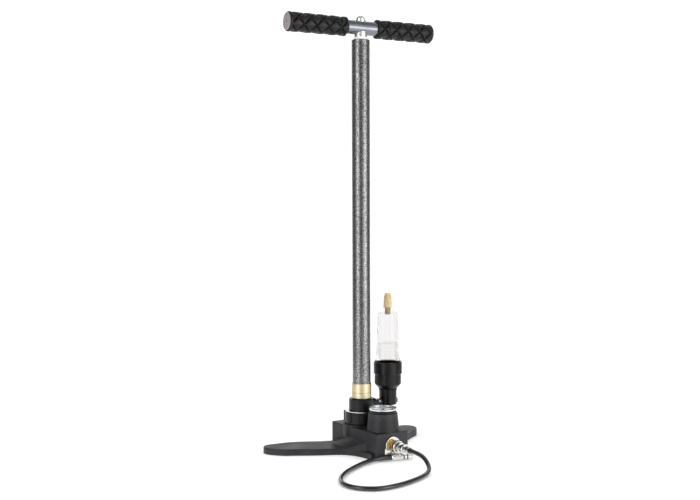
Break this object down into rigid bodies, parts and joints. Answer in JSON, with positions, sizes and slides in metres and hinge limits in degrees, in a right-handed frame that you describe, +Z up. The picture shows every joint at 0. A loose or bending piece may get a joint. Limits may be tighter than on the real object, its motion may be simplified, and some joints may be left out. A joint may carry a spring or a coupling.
{
  "type": "high-pressure hand pump",
  "caption": "Tall stirrup hand pump with swept foot wings, T-handle, gauge in the base, clear intake filter cup and a short hose with a fill probe.",
  "frame": {"origin": "on the pump tube's axis, on the underside that the base stands on", "axes": "+Z up along the pump tube, -Y towards the gauge and hose outlet, +X towards the filter tower"},
  "size_m": [0.2726, 0.2746, 0.6294],
  "materials": {
    "powder_coat": "charcoal fine-textured powder coat",
    "machined_steel": "turned steel",
    "screw_steel": "zinc-plated steel",
    "arm_screw": "dark plated steel",
    "valve_alloy": "machined aluminium",
    "hammered_paint": "dark grey hammered paint",
    "black_nylon": "satin black moulded plastic",
    "stem_plug": "grey plated plug",
    "gauge_black": "black enamelled case",
    "brass": "satin turned brass",
    "gold_brass": "deep yellow brass",
    "nickel": "bright nickel plate",
    "rod_steel": "hard chromed tube",
    "bush": "white acetal",
    "handle_alloy": "brushed aluminium",
    "grip_rubber": "matt black moulded rubber",
    "grip_cap": "warm grey moulded cap",
    "seal_rubber": "black nitrile",
    "hose_black": "glossy black nylon braid cover",
    "dial_white": null,
    "needle_dark": "dark enamel",
    "gauge_glass": "clear lens",
    "cup_clear": "clear moulded plastic",
    "felt": "white felt",
    "sintered": "tan sintered bronze, matt and porous"
  },
  "bodies": {
    "pump_body": {"air_hose": "hose_black", "arm_screw": "arm_screw", "base_casting": "powder_coat", "base_cover_plate": "machined_steel", "bourdon_tube": "brass", "breather_tip": "sintered", "check_spring": "screw_steel", "cover_screws": "screw_steel", "cup_base": "black_nylon", "cup_ring": "black_nylon", "cup_seal": "seal_rubber", "fill_probe": "nickel", "filter_arm": "black_nylon", "filter_cup": "cup_clear", "filter_pad": "felt", "filter_screen": "cup_clear", "filter_stem": "black_nylon", "gauge_bezel": "nickel", "gauge_case": "gauge_black", "gauge_dial": "dial_white", "gauge_lens": "gauge_glass", "gauge_stem": "machined_steel", "guide_bush": "bush", "hose_boot": "hose_black", "hose_ferrule": "nickel", "housing_seal": "seal_rubber", "inner_tube": "machined_steel", "intake_housing": "black_nylon", "lock_ring": "black_nylon", "outer_tube": "hammered_paint", "outlet_adapter": "nickel", "outlet_coupling": "nickel", "outlet_nut": "gold_brass", "outlet_plate": "nickel", "probe_ferrule": "nickel", "probe_seals": "seal_rubber", "ring_washer": "nickel", "second_stage_piston": "machined_steel", "second_stage_seal": "seal_rubber", "stem_plug": "stem_plug", "tube_collar": "brass", "valve_block": "valve_alloy", "valve_plug": "machined_steel", "wiper_seal": "seal_rubber"},
    "piston": {"piston_head": "valve_alloy", "piston_seals": "seal_rubber"},
    "handle": {"piston_rod": "rod_steel", "stroke_buffer": "seal_rubber", "rod_end_plug": "machined_steel", "third_stage_rod": "machined_steel", "third_stage_seal": "seal_rubber", "handle_tube": "handle_alloy", "saddle_washer": "rod_steel", "dome_nut": "rod_steel", "grip_left": "grip_rubber", "grip_right": "grip_rubber", "grip_ends": "grip_cap"},
    "needle": {"gauge_needle": "needle_dark"},
    "check_valve": {"check_ball": "screw_steel"},
    "bleed": {"bleed_screw": "nickel"}
  },
  "joints": [
    {"name": "stroke", "type": "slide", "parent": "pump_body", "child": "piston", "axis": [0, 0, 1], "range_m": [0, 0.465]},
    {"name": "handle_turn", "type": "hinge", "parent": "piston", "child": "handle", "pos_m": [0, 0, 0.5], "axis": [0, 0, 1], "continuous": true},
    {"name": "needle_swing", "type": "hinge", "parent": "pump_body", "child": "needle", "pos_m": [0, -0.0543, 0.066], "axis": [0, 0, -1], "range_deg": [0, 270], "stiffness_Nm_per_rad": 0.0005},
    {"name": "check_lift", "type": "slide", "parent": "pump_body", "child": "check_valve", "axis": [0, 0, -1], "range_m": [0, 0.0008], "stiffness_N_per_m": 200, "springref_m": -0.004},
    {"name": "bleed_turn", "type": "hinge", "parent": "pump_body", "child": "bleed", "pos_m": [0.03, -0.0543, 0.0192], "axis": [1, 0, 0], "range_deg": [0, 360]}
  ]
}
